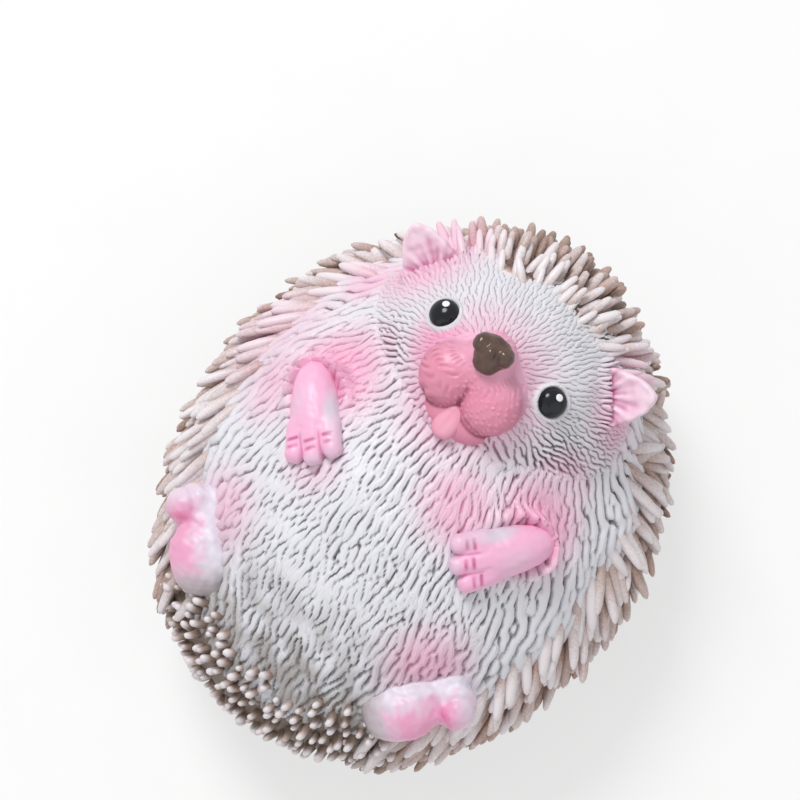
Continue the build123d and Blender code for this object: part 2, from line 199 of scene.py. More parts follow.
fur_skirt = 33.0
belly_rays = 800
belly_rings = 122
belly_pole = (0, 0.62, 0.785)
belly_start = 0.12
lock_pitch = 1.7
lock_depth = 0.85
lock_stretch = 2.7
lock_swing = 0.22
lock_spread = (0.75, 1.3)
packet_locks, packet_cover, packet_reach = 2.0, 7, 2.2
join_width = 4.5
arm_turn, arm_rise, arm_heading = radians(-7.8), radians(59), radians(148)
cuff_swell = 2.9
# Where the pink mist lies: the middle of each soft spot in millimetres, its radius and its strength.
blush_spots = [
    ((-1, 17, 73), 14, 0.9),
    ((-10, 19, 73), 8, 1.0),
    ((11, -2, 66), 8, 0.7),
    ((25, 5, 61), 10, 0.85),
    ((-25, 5, 61), 11, 0.9),
    ((-33, -2, 54), 9, 0.5),
    ((-17, -12, 64), 6, 0.35),
    ((25, -30, 55), 9, 0.7),
    ((-28, -30, 54), 9, 0.55),
    ((29, 36, 60), 11, 0.85),
    ((-28, 37, 60), 13, 0.85),
    ((-33, 28, 50), 8, 0.6),
    ((-39, 8, 47), 13, 0.35),
    ((24, 14, 60), 8, 0.4),
    ((-21, 13, 63), 7, 0.3),
]


def unit(vectors):
    """Vectors of length one."""
    return vectors / np.linalg.norm(vectors, axis=-1, keepdims=True)


def ramp(values, start, width, most=1):
    """Rises from nothing at the start to one a width further on; a width below zero runs the other way."""
    return np.clip((values - start) / width, 0, most)


def bell(values, middle, width):
    """One at the middle, falling softly away on both sides."""
    return np.exp(-(((values - middle) / width) ** 2))


def on_form(form, directions):
    """Points on an ellipsoid under unit directions in its own frame, and the normals there."""
    points = form.centre + (directions * form.half) @ form.axes.T
    return points, unit((directions / form.half) @ form.axes.T)


def outside(form, points):
    """How far points lie outside an ellipsoid, negative within it."""
    local = (points - form.centre) @ form.axes / form.half
    length = np.maximum(np.linalg.norm(local, axis=-1), 1e-6)
    return (length - 1) * length / np.maximum(np.linalg.norm(local / form.half, axis=-1), 1e-6)


def bearing(turn, rise):
    """Unit direction at a turn round the upright axis and a rise above the level."""
    return np.array([cos(rise) * cos(turn), cos(rise) * sin(turn), sin(rise)])


def seat_on(form, turn, rise, heading=0.0):
    """Frame on an ellipsoid whose axes run level, up the slope and outward, swung by a heading."""
    point, outward = on_form(form, bearing(turn, rise))
    level = unit(form.axes @ [-form.half[0] * sin(turn), form.half[1] * cos(turn), 0])
    slope = np.cross(outward, level)
    along = level * cos(heading) + slope * sin(heading)
    return Form(point, np.ones(3), np.stack([along, np.cross(outward, along), outward], 1))


def rod(p, start, end, start_radius, end_radius):
    """Distance to a tapered rod with round ends."""
    start, run = np.array(start, float), np.subtract(end, start)
    share = np.clip((p - start) @ run / (run @ run), 0, 1)
    gap = np.linalg.norm(p - start - share[..., None] * run, axis=-1)
    return gap - start_radius - share * (end_radius - start_radius)


def mirrored(form):
    """The same frame on the other side of the animal."""
    return Form(form.centre * [-1, 1, 1], form.half, form.axes * [[-1], [1], [1]])


def shifted(form, offset):
    """The same frame moved by an offset along its own axes."""
    return Form(form.centre + form.axes @ offset, form.half, form.axes)


def rump_share(points):
    """One over the rump, where studs stand in place of spines, falling to nothing beside it."""
    return ramp(points[..., 1], -39, -5) * ramp(np.abs(points[..., 0]), 33, -6)


def coat_height(points):
    """How far the skin stands out under the spines, most of all at the rump."""
    rump = ramp(points[..., 1], -34, -12) * ramp(np.abs(points[..., 0]), 38, -12)
    return (2.0 + 2.6 * rump) * ramp(points[..., 2], 50, -16) * ramp(points[..., 2], 0, 14)


def spokes_round(pole, rays):
    """A pole as a unit vector, and the unit vectors square to it along which its rays set out."""
    pole = unit(np.array(pole, float))
    first = unit(np.cross([1.0, 0, 0], pole))
    turns = np.linspace(0, 2 * pi, rays, endpoint=False)[:, None]
    return pole, np.cos(turns) * first + np.sin(turns) * np.cross(pole, first)


def polar_sheet(pole, reaches, start, rings):
    """Unit directions on rays that fan out of a pole, and the way each ray runs."""
    pole, spokes = spokes_round(pole, len(reaches))
    spokes = spokes[:, None]
    spread = start + (reaches[:, None] - start) * np.linspace(0, 1, rings)
    spread = spread[:, :, None]
    return np.cos(spread) * pole + np.sin(spread) * spokes, np.cos(spread) * spokes - np.sin(spread) * pole


def lock_phase(points, normals, flow, pitch, lean, seed):
    """Phase of wavy locks that lie along the flow, from the sum of many short wave packets."""
    chance = np.random.default_rng(seed)
    rays, rings = points.shape[:2]
    across = np.cross(normals, flow)
    ray_gap = np.linalg.norm(points - np.roll(points, 1, 0), axis=-1) + 1e-6
    ring_gap = np.linalg.norm(np.gradient(points, axis=1), axis=-1) + 1e-6
    area = ray_gap * ring_gap
    packet = packet_locks * pitch
    count = int(area.sum() / np.mean(packet) ** 2 * packet_cover)
    total = np.zeros((rays, rings), complex)
    for place in chance.choice(rays * rings, count, p=(area / area.sum()).ravel()):
        i, j = divmod(place, rings)
        wide = packet[i, j] * packet_reach
        di = min(int(wide / ray_gap[i, j]) + 1, rays // 2 - 1)
        dj = int(wide * lock_stretch / ring_gap[i, j]) + 1
        near = np.ix_(np.arange(i - di, i + di + 1) % rays, np.arange(max(0, j - dj), min(rings, j + dj + 1)))
        swing = lean[i, j] + chance.normal(0, lock_swing)
        side = across[i, j] * cos(swing) + flow[i, j] * sin(swing)
        along = flow[i, j] * cos(swing) - across[i, j] * sin(swing)
        gap = points[near] - points[i, j]
        sideways = gap @ side
        weight = np.exp(-((sideways / packet[i, j]) ** 2) - (gap @ along / packet[i, j] / lock_stretch) ** 2)
        turns = sideways / pitch[i, j] * chance.uniform(*lock_spread) + chance.uniform()
        total[near] += weight * np.exp(2j * pi * turns)
    return np.angle(total)


def slow_noise(points, size, seed):
    """Smooth noise between about -1 and 1 whose swells are about one size across."""
    chance = np.random.default_rng(seed)
    waves = unit(chance.normal(size=(9, 3))) * (2 * pi / size * chance.uniform(0.6, 1.4, (9, 1)))
    return np.sin(points @ waves.T + chance.uniform(0, 2 * pi, 9)).sum(-1) / 4


def near_spots(points, spots):
    """How strongly soft round spots, given as (middle, radius, strength), cover each point."""
    cover = np.zeros(points.shape[:-1])
    for middle, radius, strength in spots:
        gap = np.linalg.norm(points - np.array(middle), axis=-1) / radius
        cover = np.maximum(cover, strength * np.exp(-(gap**3)))
    return cover


def joined_swell(form, points):
    """Height of the soft fillet where one form grows out of another."""
    return np.maximum(join_width - np.abs(outside(form, points)), 0) ** 2 / (4 * join_width)


def ring_faces(rays, rings):
    """Quads between neighbouring rays of a sheet that closes on itself."""
    i, j = np.meshgrid(np.arange(rays), np.arange(rings - 1), indexing="ij")
    after = (i + 1) % rays
    corners = np.stack([i * rings + j, i * rings + j + 1, after * rings + j + 1, after * rings + j], -1)
    return corners.reshape(-1, 4)


def make_piece(title, points, faces, material, slot, nodes, **layers):
    """Mesh object from points in millimetres and faces, with one named value a point for each layer."""
    mesh = bpy.data.meshes.new(title)
    mesh.from_pydata(np.reshape(points, (-1, 3)) * mm, [], [list(face) for face in faces])
    for layer, values in layers.items():
        values = np.ravel(values).astype(np.float32)
        mesh.attributes.new(layer, "FLOAT", "POINT").data.foreach_set("value", values)
    mesh.materials.append(material)
    mesh.shade_smooth()
    mesh.update()
    piece = bpy.data.objects.new(title, mesh)
    bpy.context.collection.objects.link(piece)
    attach(piece, "root")
    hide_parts(*nodes)


# Airbrushed vinyl: soft PVC with a satin skin. On most pieces the low end of the ridge layer is painted
# shade, darkening grooves and creases, and its high end is painted light on the tops; on the spines it is
# their own tone. A pink mist lies over some places and a brown dusting over a few. A fine grain, drawn at 0.5
# mm so that it shows, breaks up the sheen, and the mist comes in patches about 7 mm wide.
grain_size, patch_size = 0.5 * mm, 7 * mm
dust_brown = "857B70"


def airbrushed_vinyl(title, groove, mid_colour, top, blush, gloss=0.42, grain_height=0.05, mottle=0.2, strand=0.0):
    """Material from a groove colour through a middle colour to a top colour as the ridge layer rises, misted
    by the blush layer and dusted by the dust layer, with hair strands three to a lock where the wave layer
    gives the lock's phase."""
    material, tree = new_material(title)
    ridge = add_node(tree, "ShaderNodeAttribute", attribute_name="ridge")
    mist = add_node(tree, "ShaderNodeAttribute", attribute_name="blush")
    dust = add_node(tree, "ShaderNodeAttribute", attribute_name="dust")
    place = add_node(tree, "ShaderNodeTexCoord").outputs["Object"]
    speckle = add_node(tree, "ShaderNodeTexNoise", {"Vector": place, "Scale": 1 / grain_size, "Detail": 3.0})
    patch = add_node(tree, "ShaderNodeTexNoise", {"Vector": place, "Scale": 1 / patch_size, "Detail": 3.0})
    flecked = add_node(
        tree,
        "ShaderNodeMath",
        {0: speckle.outputs["Fac"], 1: mottle, 2: ridge.outputs["Fac"]},
        operation="MULTIPLY_ADD",
    )
    soaked = add_node(
        tree,
        "ShaderNodeMapRange",
        {"Value": flecked.outputs[0], "From Min": 0.05 + mottle / 2, "From Max": 0.4 + mottle / 2},
    )
    stain = add_node(
        tree, "ShaderNodeMix", {0: soaked.outputs[0], 6: paint(groove), 7: paint(mid_colour)}, data_type="RGBA"
    )
    brushed = add_node(
        tree,
        "ShaderNodeMapRange",
        {"Value": flecked.outputs[0], "From Min": 0.4 + mottle / 2, "From Max": 0.75 + mottle / 2},
    )
    relief = add_node(
        tree, "ShaderNodeMix", {0: brushed.outputs[0], 6: stain.outputs[2], 7: paint(top)}, data_type="RGBA"
    )
    worn = add_node(
        tree, "ShaderNodeMapRange", {"Value": patch.outputs["Fac"], "To Min": 0.72, "To Max": 1.12}
    )
    amount = add_node(
        tree,
        "ShaderNodeMath",
        {0: mist.outputs["Fac"], 1: worn.outputs[0]},
        operation="MULTIPLY",
        use_clamp=True,
    )
    misted = add_node(
        tree,
        "ShaderNodeMix",
        {0: amount.outputs[0], 6: relief.outputs[2], 7: paint(blush)},
        data_type="RGBA",
    )
    dusted = add_node(
        tree,
        "ShaderNodeMix",
        {0: dust.outputs["Fac"], 6: misted.outputs[2], 7: paint(dust_brown)},
        data_type="RGBA",
    )
    sheen = add_node(
        tree,
        "ShaderNodeMapRange",
        {"Value": speckle.outputs["Fac"], "To Min": gloss - 0.08, "To Max": gloss + 0.12},
    )
    bump = add_node(
        tree,
        "ShaderNodeBump",
        {"Height": speckle.outputs["Fac"], "Strength": 0.5, "Distance": grain_height * mm},
    )
    if strand:
        wave = add_node(tree, "ShaderNodeAttribute", attribute_name="wave").outputs["Fac"]
        square = add_node(tree, "ShaderNodeMath", {0: wave, 1: wave}, operation="MULTIPLY")
        inner = add_node(
            tree, "ShaderNodeMath", {0: square.outputs[0], 1: 4.0, 2: -3.0}, operation="MULTIPLY_ADD"
        )
        strands = add_node(tree, "ShaderNodeMath", {0: inner.outputs[0], 1: wave}, operation="MULTIPLY")
        bump = add_node(
            tree,
            "ShaderNodeBump",
            {"Height": strands.outputs[0], "Distance": strand * mm, "Normal": bump.outputs[0]},
        )
    skin = add_node(
        tree,
        "ShaderNodeBsdfPrincipled",
        {
            "Base Color": dusted.outputs[2],
            "Roughness": sheen.outputs[0],
            "Normal": bump.outputs[0],
            "IOR": 1.5,
            "Subsurface Weight": 0.08,
            "Subsurface Radius": (1.0, 0.5, 0.4),
            "Subsurface Scale": 1.2 * mm,
        },
    )
    add_node(tree, "ShaderNodeOutputMaterial", {"Surface": skin.outputs[0]})
    return material


# Fur vinyl: the tops of the locks are a cool pale grey, and warm brown lies in the clefts between them as
# painted shade.
fur_vinyl = airbrushed_vinyl(
    "fur_vinyl",
    groove="4C423D",
    mid_colour="A6A6AD",
    top="E5E5EB",
    blush="F19FC4",
    grain_height=0.07,
    mottle=0.45,
    strand=0.035,
)

# The sheet of fur fans out from the chest down to one level round the body.
pole, spokes = spokes_round(belly_pole, belly_rays)
spoke_rise = spokes[:, 2]
skirt_level = (fur_skirt - body.centre[2]) / body.half[2]
belly_reach = np.arctan2(spoke_rise, pole[2]) + np.arccos(skirt_level / np.hypot(pole[2], spoke_rise))
directions, runs = polar_sheet(belly_pole, belly_reach, belly_start, belly_rings)
points, normals = on_form(body, directions)
flow = unit(runs * body.half)
# The locks are broader and deeper at the border with the spines, and finer towards the tail.
border_level = body.centre[2] + 0.72 * body.half[2]
border = ramp(points[..., 2], border_level, -9) * (1 - 0.8 * rump_share(points))
fine = ramp(points[..., 1], -18, -16)
pitch = lock_pitch * (1 + 0.7 * border) * (1 - 0.13 * fine)
wave = 0.35 * np.sin(2 * pi * points[..., 1] / 9 + 2.5 * slow_noise(points, 12, 3))
wave = wave + 0.25 * slow_noise(points, 6, 4)
phase = lock_phase(points, normals, flow, pitch, wave, 11)
# The clefts between the locks are darkened through the ridge layer as painted shade, widest at the border.
cleft = (0.5 - 0.5 * np.cos(phase)) ** (4.6 - 1.0 * border)
ridge = 1 - cleft * np.clip(0.95 - 0.08 * fine + 0.5 * slow_noise(points, 5, 7), 0.3, 1)
height = lock_depth * (0.85 + 0.25 * slow_noise(points, 9, 5) + 0.9 * border) * (ridge - 0.7)
height = height + 0.5 * slow_noise(points, 16, 6) + joined_swell(head, points)
height = height + coat_height(points) - 3.0 * ramp(points[..., 2], 41, -8)
# A cuff of fur swells round each forearm, with a line of painted shade beside it.
arm_seat = seat_on(body, arm_turn, arm_rise, arm_heading)
for arm in (arm_seat, mirrored(arm_seat)):
    near = (points - arm.centre) @ arm.axes
    from_cuff = rod(near, (-3.6, 0, 0.5), (4, 0, 0.3), 4.8, 4.8)
    cuff = ramp(near[..., 0], 3, -5) + cuff_swell * ramp(near[..., 0], -4, -4)
    height = height + cuff * bell(from_cuff, 1.5, 1.3) * (0.75 + 0.5 * ridge)
    ridge = ridge - 0.3 * bell(from_cuff, 0.1, 0.5) * np.minimum(cuff, 1)
# The fur is darker behind the neck and by the tail as painted shade, and brown dust lies in patches at the
# tail end.
nape = ramp(points[..., 1], 34, 8) * ramp(points[..., 2], 50, -6)
tail = ramp(points[..., 1], -36, -10)
ridge = ridge * (1 - 0.55 * nape - 0.35 * tail)
dusting = 0.6 * ramp(points[..., 1], -29, -15) * np.clip(0.6 + 0.8 * slow_noise(points, 6, 8), 0, 1)
make_piece(
    "belly_fur",
    points + normals * height[..., None],
    ring_faces(belly_rays, belly_rings),
    fur_vinyl,
    "fur_rubber",
    ["belly_skin"],
    ridge=ridge,
    blush=near_spots(points, blush_spots),
    dust=dusting,
    wave=np.cos(phase),
)

# Head. A round furred head cast like the belly, with finer hair that fans out from the nose,
# bare rims round the eyes and a soft fold where the chin meets the chest.
head_rays = 760
head_rings = 122
head_pole = (0, -0.2, 0.98)
head_start, head_reach = 0.06, radians(122)
hair_pitch = 1.05
hair_depth = 0.5
muzzle_collar = (10.6, 9.6, 1)
collar_shift = 0.2
collar_swell = 1.1
# Where the fur of the chin and neck is coarser, and darker as painted shade under the chin: middle, radius
# and strength of each spot.
chin_spots = [
    ((9, 4, 66), 9, 1.0),
    ((22, 14, 62), 10, 1.0),
    ((-10, 3, 66), 8, 0.9),
    ((-20, 13, 63), 8, 0.8),
    ((27, 24, 58), 10, 0.6),
]
eye_seats = {
    "left": seat_on(head, radians(-9.5), radians(60.4)),
    "right": seat_on(head, radians(182.5), radians(62.8)),
}
ear_turn, ear_rise, ear_heading = radians(21), radians(33), radians(28)
ear_seats = {
    "left": seat_on(head, ear_turn, ear_rise, ear_heading),
    "right": seat_on(head, pi - ear_turn, ear_rise, -ear_heading),
}
ear_ruff = 1.3
muzzle_seat = seat_on(head, radians(-90), radians(66))
directions, runs = polar_sheet(head_pole, np.full(head_rays, head_reach), head_start, head_rings)
points, normals = on_form(head, directions)
flow = unit((runs * head.half) @ head.axes.T)
from_eye = np.min([np.linalg.norm(points - eye.centre, axis=-1) for eye in eye_seats.values()], axis=0)
bare = ramp(from_eye, 3.4, 0.7)
pitch = hair_pitch * (1 + 0.5 * ramp(points[..., 1], 18, -10))
wave = 0.3 * slow_noise(points, 7, 21) + 0.2 * slow_noise(points, 3.5, 22)
phase = lock_phase(points, normals, flow, pitch, wave, 23)
chin_shade_and_coarse = near_spots(points, chin_spots)
# The grooves between the hairs are darkened as painted shade, most of all under the chin.
ridge = 1 - (0.5 - 0.5 * np.cos(phase)) ** (3.4 - 1.8 * chin_shade_and_coarse) * bare * (0.6 + 0.4 * chin_shade_and_coarse)
height = hair_depth * (1.1 + 0.3 * slow_noise(points, 6, 24) + 0.7 * chin_shade_and_coarse) * (ridge - 0.75)
ridge = ridge - 0.12 * chin_shade_and_coarse * np.clip(0.6 + slow_noise(points, 5, 26), 0, 1)
# Rims stand round the eyes, a collar round the muzzle and a ruff of hair round the root of each ear.
height = height + 0.8 * bell(from_eye, 3.3, 0.42) + 0.35 * slow_noise(points, 12, 25)
near = (points - muzzle_seat.centre) @ muzzle_seat.axes / muzzle_collar
from_muzzle = np.hypot(near[..., 0], near[..., 1] - collar_shift)
height = height + joined_swell(body, points) + collar_swell * bell(from_muzzle, 0.95, 0.2)
for leaf in ear_seats.values():
    from_root = rod((points - leaf.centre) @ leaf.axes, (-4.6, 0, 0), (4.6, 0, 0), 1.2, 1.2)
    height = height + ear_ruff * bell(from_root, 0.7, 0.9) * (2 * ridge - 0.8)
make_piece(
    "head_fur",
    points + normals * height[..., None],
    ring_faces(head_rays, head_rings),
    fur_vinyl,
    "fur_rubber",
    ["head"],
    ridge=ridge,
    blush=near_spots(points, blush_spots) * np.clip((from_eye - 3.7) / 0.5, 0.1, 1),
    wave=np.cos(phase),
)

# Muzzle. Two round cheek lobes, a lip and a bridge, cast in soft vinyl with short raised bristles and pegged
# to the face. It is sprayed a deep rose that thins to pale pink on the bridge.
lobe_half, lobe_place = (5.8, 6.3, 5.1), (5.0, 1.4, 0.8)


def ball(p, middle, half):
    """Distance to an ellipsoid, near enough for sculpting."""
    near = (p - np.array(middle)) / np.array(half)
    length = np.linalg.norm(near, axis=-1) + 1e-6
    return length * (length - 1) / (np.linalg.norm(near / np.array(half), axis=-1) + 1e-6)


def melt(one, other, width):
    """Two distances joined with a soft fillet."""
    blend = np.maximum(width - np.abs(one - other), 0) / width
    return np.minimum(one, other) - blend**2 * width / 4


def carve(one, other, width):
    """One distance with another taken out of it, softly."""
    return -melt(-one, other, width)


def sculpt(place, low, high, shape, voxel):
    """Surface where a distance is zero on a grid in a local frame: points there, points placed, and quads."""
    ticks = [np.arange(first, last + voxel, voxel) for first, last in zip(low, high)]
    grid = np.stack(np.meshgrid(*ticks, indexing="ij"), -1)
    band = 3.0
    volume = openvdb.FloatGrid(background=band)
    volume.copyFromArray((shape(grid) / voxel).clip(-band, band).astype(np.float32))
    local, quads = volume.convertToQuads(0.0)
    local = np.array(low) + local * voxel
    faces = quads[:, ::-1] if np.linalg.det(place.axes) > 0 else quads
    return local, place.centre + local @ place.axes.T, faces


def muzzle_lobes(p):
    """Distance to the two cheek lobes."""
    across, along, up = lobe_place
    return melt(ball(p, (across, along, up), lobe_half), ball(p, (-across, along, up), lobe_half), 1.0)


def lip_share(p):
    """One on the lip that shows under the lobes."""
    return np.clip(2 * muzzle_lobes(p) - 0.5, 0, 1) * (p[..., 1] < -1)


def muzzle_hair(p):
    """Fine hair that runs out from the nose over the lobes, stubble below it, and neither on the lip."""
    x, y = p[..., 0], p[..., 1]
    fan = np.arctan2(x, 11 - y)
    reach = np.hypot(x, 11 - y)
    lines = np.cos(fan * 52 + 2.2 * np.sin(reach * 1.3) + 3 * np.sin(fan * 7)) * ramp(reach, 5, 3)
    lines = lines * np.clip(0.5 + 0.7 * np.sin(reach * 1.9 + fan * 9), 0, 1)
    stubble = np.sin(x * 3.7 + 1.6 * np.sin(y * 1.7)) * np.sin(y * 3.3 + 0.9 * x)
    upper = ramp(y + 2.8 - 0.7 * x, 0, 4) * ramp(np.abs(x), 1.2, 2)
    return (lines * upper + 2.6 * np.clip(stubble - 0.35, 0, 1) * (1 - upper)) * (1 - lip_share(p))


def mouth_shade(p):
    """How much painted shade a place gets in the smile under the lobes or in the groove between them."""
    smile = np.where(p[..., 1] < 0, np.abs(muzzle_lobes(p) - 0.6) / 0.5, 9.0)
    groove = np.where(p[..., 1] < 2, np.abs(p[..., 0]) / 0.8, 9.0)
    return np.clip(1 - np.minimum(smile, groove), 0, 1)


def muzzle_shape(p):
    """Distance to the muzzle: lobes, two swells of the bridge, the root in the face and the lip."""
    snout = melt(muzzle_lobes(p), ball(p, (0, 7.4, 1.2), (4.4, 6.0, 4.6)), 3.0)
    snout = melt(snout, ball(p, (0, 9.6, 2.8), (4.4, 4.2, 3.6)), 1.6)
    snout = melt(snout, ball(p, (0, 2.6, -2.4), (10.8, 9.4, 3.8)), 2.4)
    snout = melt(snout, ball(p, (0.6, -4.7, -1.4), (7.6, 4.7, 3.9)), 0.3)
    snout = carve(snout, rod(p, (0, 4.6, 7.0), (0, -5.0, 4.4), 0.6, 0.8), 1.4)
    for side in (1, -1):
        snout = carve(snout, rod(p, (side * 1.2, -4.4, 3.4), (side * 8.6, -4.2, 1.8), 0.3, 0.3), 0.9)
    return snout - 0.2 * muzzle_hair(p)


# Rose vinyl: a deep rose spray, darker along the mouth as painted shade, with a slightly moist sheen.
rose_vinyl = airbrushed_vinyl(
    "rose_vinyl", groove="8E4259", mid_colour="C87690", top="E08EA9", blush="F0B4CE", gloss=0.36
)
local, points, quads = sculpt(muzzle_seat, (-13, -13, -5), (13, 15, 10), muzzle_shape, voxel=0.25)
# The lobes are lighter the higher they stand and on the tops of the hairs, as painted light, and the mouth is
# darkened as painted shade; the lip is a paler pink.
paling = 0.24 + 0.1 * local[:, 2] + 0.22 * muzzle_hair(local) + 0.35 * lip_share(local)
bridge_mist = ramp(local[:, 1], 3, 8, 0.6)
root_mist = ramp(local[:, 2], 1.8, -3, 0.7) * (local[:, 1] > -3)
make_piece(
    "muzzle_lobes",
    points,
    quads,
    rose_vinyl,
    "pink_rubber",
    ["muzzle"],
    ridge=np.clip(paling - 0.6 * mouth_shade(local), 0, 1),
    blush=bridge_mist + root_mist,
)

# Nose. A separate vinyl button with two comma nostrils, lacquered a glossy brown and pushed on to the end of
# the bridge.
nose_forward, nose_up = 9.8, 5.4
nose_seat = shifted(muzzle_seat, [0, nose_forward, nose_up])


def nose_shape(p):
    """Distance to the nose: a broad top over a narrow lip, a middle bump and two wings with nostrils."""
    button = melt(ball(p, (0, 0.7, -0.2), (4.2, 2.9, 2.8)), ball(p, (0.1, -1.7, 0), (2.8, 2.5, 3.1)), 0.8)
    button = melt(button, ball(p, (0, 0.2, 1.2), (1.5, 2.2, 2.4)), 0.5)
    for side in (1, -1):
        button = melt(button, ball(p, (side * 2.5, 0.9, 0.8), (1.8, 2.0, 2.3)), 0.5)
        button = carve(button, rod(p, (side * 2.6, -1.5, 2.4), (side * 4.9, -1.6, -0.5), 0.45, 0.95), 0.35)
    return button - 0.06 * slow_noise(p, 2.0, 28)


# Gloss lacquer: brushed on and dried to a nearly smooth skin, so that it shows small sharp lights,
# with the slow mottling that a brush leaves.
def gloss_lacquer(title, deep, light, blotch):
    """Material of one colour with slow mottling, its blotches about one size in millimetres across."""
    material, tree = new_material(title)
    place = add_node(tree, "ShaderNodeTexCoord").outputs["Object"]
    cloud = add_node(tree, "ShaderNodeTexNoise", {"Vector": place, "Scale": 1 / (blotch * mm), "Detail": 3.0})
    colour = add_node(
        tree, "ShaderNodeMix", {0: cloud.outputs["Fac"], 6: paint(deep), 7: paint(light)}, data_type="RGBA"
    )
    rough = add_node(
        tree, "ShaderNodeMapRange", {"Value": cloud.outputs["Fac"], "To Min": 0.08, "To Max": 0.2}
    )
    coat = add_node(
        tree,
        "ShaderNodeBsdfPrincipled",
        {"Base Color": colour.outputs[2], "Roughness": rough.outputs[0], "IOR": 1.36},
    )
    add_node(tree, "ShaderNodeOutputMaterial", {"Surface": coat.outputs[0]})
    return material


nose_lacquer = gloss_lacquer("nose_lacquer", deep="35241E", light="745C50", blotch=2.0)
_, points, quads = sculpt(nose_seat, (-6, -6, -5), (6, 6, 5), nose_shape, voxel=0.2)
make_piece("nose_button", points, quads, nose_lacquer, "nose_gloss", ["nose"])

# Tongue. A small soft vinyl tip with a groove down its middle, pushed in under the lobes so that it hangs out
# over the lip. It is a lighter and glossier pink than they are.
tongue_back, tongue_up = 6.6, 1.8
tongue_seat = shifted(muzzle_seat, [0, -tongue_back, tongue_up])


def tongue_shape(p):
    """Distance to the tongue: a round tip on a longer root, with the groove taken out."""
    tip = melt(ball(p, (0.1, -1.0, -0.2), (2.5, 2.3, 1.3)), ball(p, (0.3, 1.4, -0.3), (2.4, 3.0, 1.3)), 1.2)
    return carve(tip, rod(p, (0.4, 2.6, 1.6), (0.1, -1.4, 1.5), 0.4, 0.25), 0.9)


# Tongue vinyl: a pink, the wettest looking of the vinyls.
tongue_vinyl = airbrushed_vinyl(
    "tongue_vinyl", groove="CC6C8C", mid_colour="DF88A6", top="EC9DB8", blush="F5BFCF", gloss=0.3
)
local, points, quads = sculpt(tongue_seat, (-5, -5, -4), (5, 7, 4), tongue_shape, voxel=0.2)
# The tongue is lighter and paler the higher it stands, as painted light.
make_piece(
    "tongue_tip",
    points,
    quads,
    tongue_vinyl,
    "pink_rubber",
    ["tongue"],
    ridge=np.clip(0.4 + 0.3 * local[:, 2], 0, 1),
    blush=np.clip(0.3 * local[:, 2], 0, 0.5),
)

# Eyes. Two domed beads, sprayed bluish black and lacquered, set in sockets with bare rims.
# Each has a raised white dot of paint on the side towards the crown, a painted highlight.
eye_width = 6.0
eye_dome = 2.2
eye_proud = 0.3
glint_width, glint_dome = 1.5, 0.22
glint_shift = 1.35
eye_rays, eye_rings = 48, 20
glint_rays, glint_rings = 24, 9
eye_lacquer = gloss_lacquer("eye_lacquer", deep="06080B", light="121821", blotch=3.0)
# White hobby paint for the painted highlight: a thick matt-edged drop that dries with a soft gloss.
glint_paint = gloss_lacquer("glint_paint", deep="E9E9EC", light="F6F6F7", blotch=0.8)


def lathe(place, radii, heights, rays):
    """Points and quads of a round form turned about the outward axis of a seat."""
    turns = np.linspace(0, 2 * pi, rays, endpoint=False)[:, None]
    radii, heights = np.array(radii), np.array(heights)
    local = np.stack([np.cos(turns) * radii, np.sin(turns) * radii, np.ones_like(turns) * heights], -1)
    return place.centre + local @ place.axes.T, ring_faces(rays, len(radii))


for side, eye_seat in eye_seats.items():
    sweep = np.linspace(radians(89), radians(-25), eye_rings)
    dome = eye_proud + eye_dome * np.sin(sweep)
    points, quads = lathe(eye_seat, eye_width / 2 * np.cos(sweep), dome, eye_rays)
    make_piece(f"eye_{side}_bead", points, quads, eye_lacquer, "eye_gloss", [f"eye_{side}"])
    crownward = unit(eye_seat.axes.T @ [0, 1, 0.25] * [1, 1, 0])
    height = eye_proud + eye_dome * (1 - (glint_shift / eye_width * 2) ** 2) ** 0.5
    sideways = crownward * glint_shift / (eye_width / 2) ** 2
    dot_axis = unit(sideways + np.array([0, 0, 1]) * (height - eye_proud) / eye_dome**2)
    dot_level = unit(np.cross([0, 1, 0], dot_axis))
    dot_axes = eye_seat.axes @ np.stack([dot_level, np.cross(dot_axis, dot_level), dot_axis], 1)
    dot_middle = eye_seat.centre + eye_seat.axes @ (crownward * glint_shift + np.array([0, 0, height]))
    dot_seat = Form(dot_middle, np.ones(3), dot_axes)
    sweep = np.linspace(radians(88), radians(-40), glint_rings)
    points, quads = lathe(dot_seat, glint_width / 2 * np.cos(sweep), glint_dome * np.sin(sweep), glint_rays)
    make_piece(f"eye_{side}_glint", points, quads, glint_paint, "eye_gloss", [f"eye_{side}"])

# Ears. Thin leaf-shaped ears cast in soft vinyl with a cupped, creased inside that faces forwards, and set in
# slots in the head. They are sprayed pink, and darker in the creases by the root as painted shade.
ear_width, ear_length, ear_wall = 11.4, 9.4, 0.65


def ear_fold(p):
    """Creases that fan out from the root of an ear."""
    fan = np.arctan2(p[..., 0], p[..., 2] + 3.5)
    lines = np.cos(fan * 13 + 0.6 * np.sin(p[..., 2] * 0.9)) + 0.6 * np.cos(fan * 27 + 1.1)
    lines = lines + 0.3 * slow_noise(p, 3, 32)
    return 0.6 * lines * np.clip(1.15 - p[..., 2] / ear_length, 0, 1)


def ear_shape(p):
    """Distance to an ear: a thin wall bent along the cup and its creases, cut off at a wavy rim."""
    share = np.clip((p[..., 2] + 3) / (ear_length + 3), 0, 1)
    half_width = ear_width / 2 * (1.03 - share**2.4) ** 0.75
    cup = 0.7 * (p[..., 0] / 4.5) ** 2 - 0.4 - 0.05 * p[..., 2]
    cup = cup + 0.36 * ear_fold(p) + 0.09 * slow_noise(p, 1.7, 34)
    wall = np.abs(p[..., 1] - cup) - ear_wall - 0.6 * (1 - share)
    rim = (np.abs(p[..., 0]) - half_width - 0.1 * np.sin(1.6 * p[..., 2] + p[..., 0])) * 0.85
    return -melt(-np.maximum(wall, p[..., 2] - ear_length), -rim, 0.9)


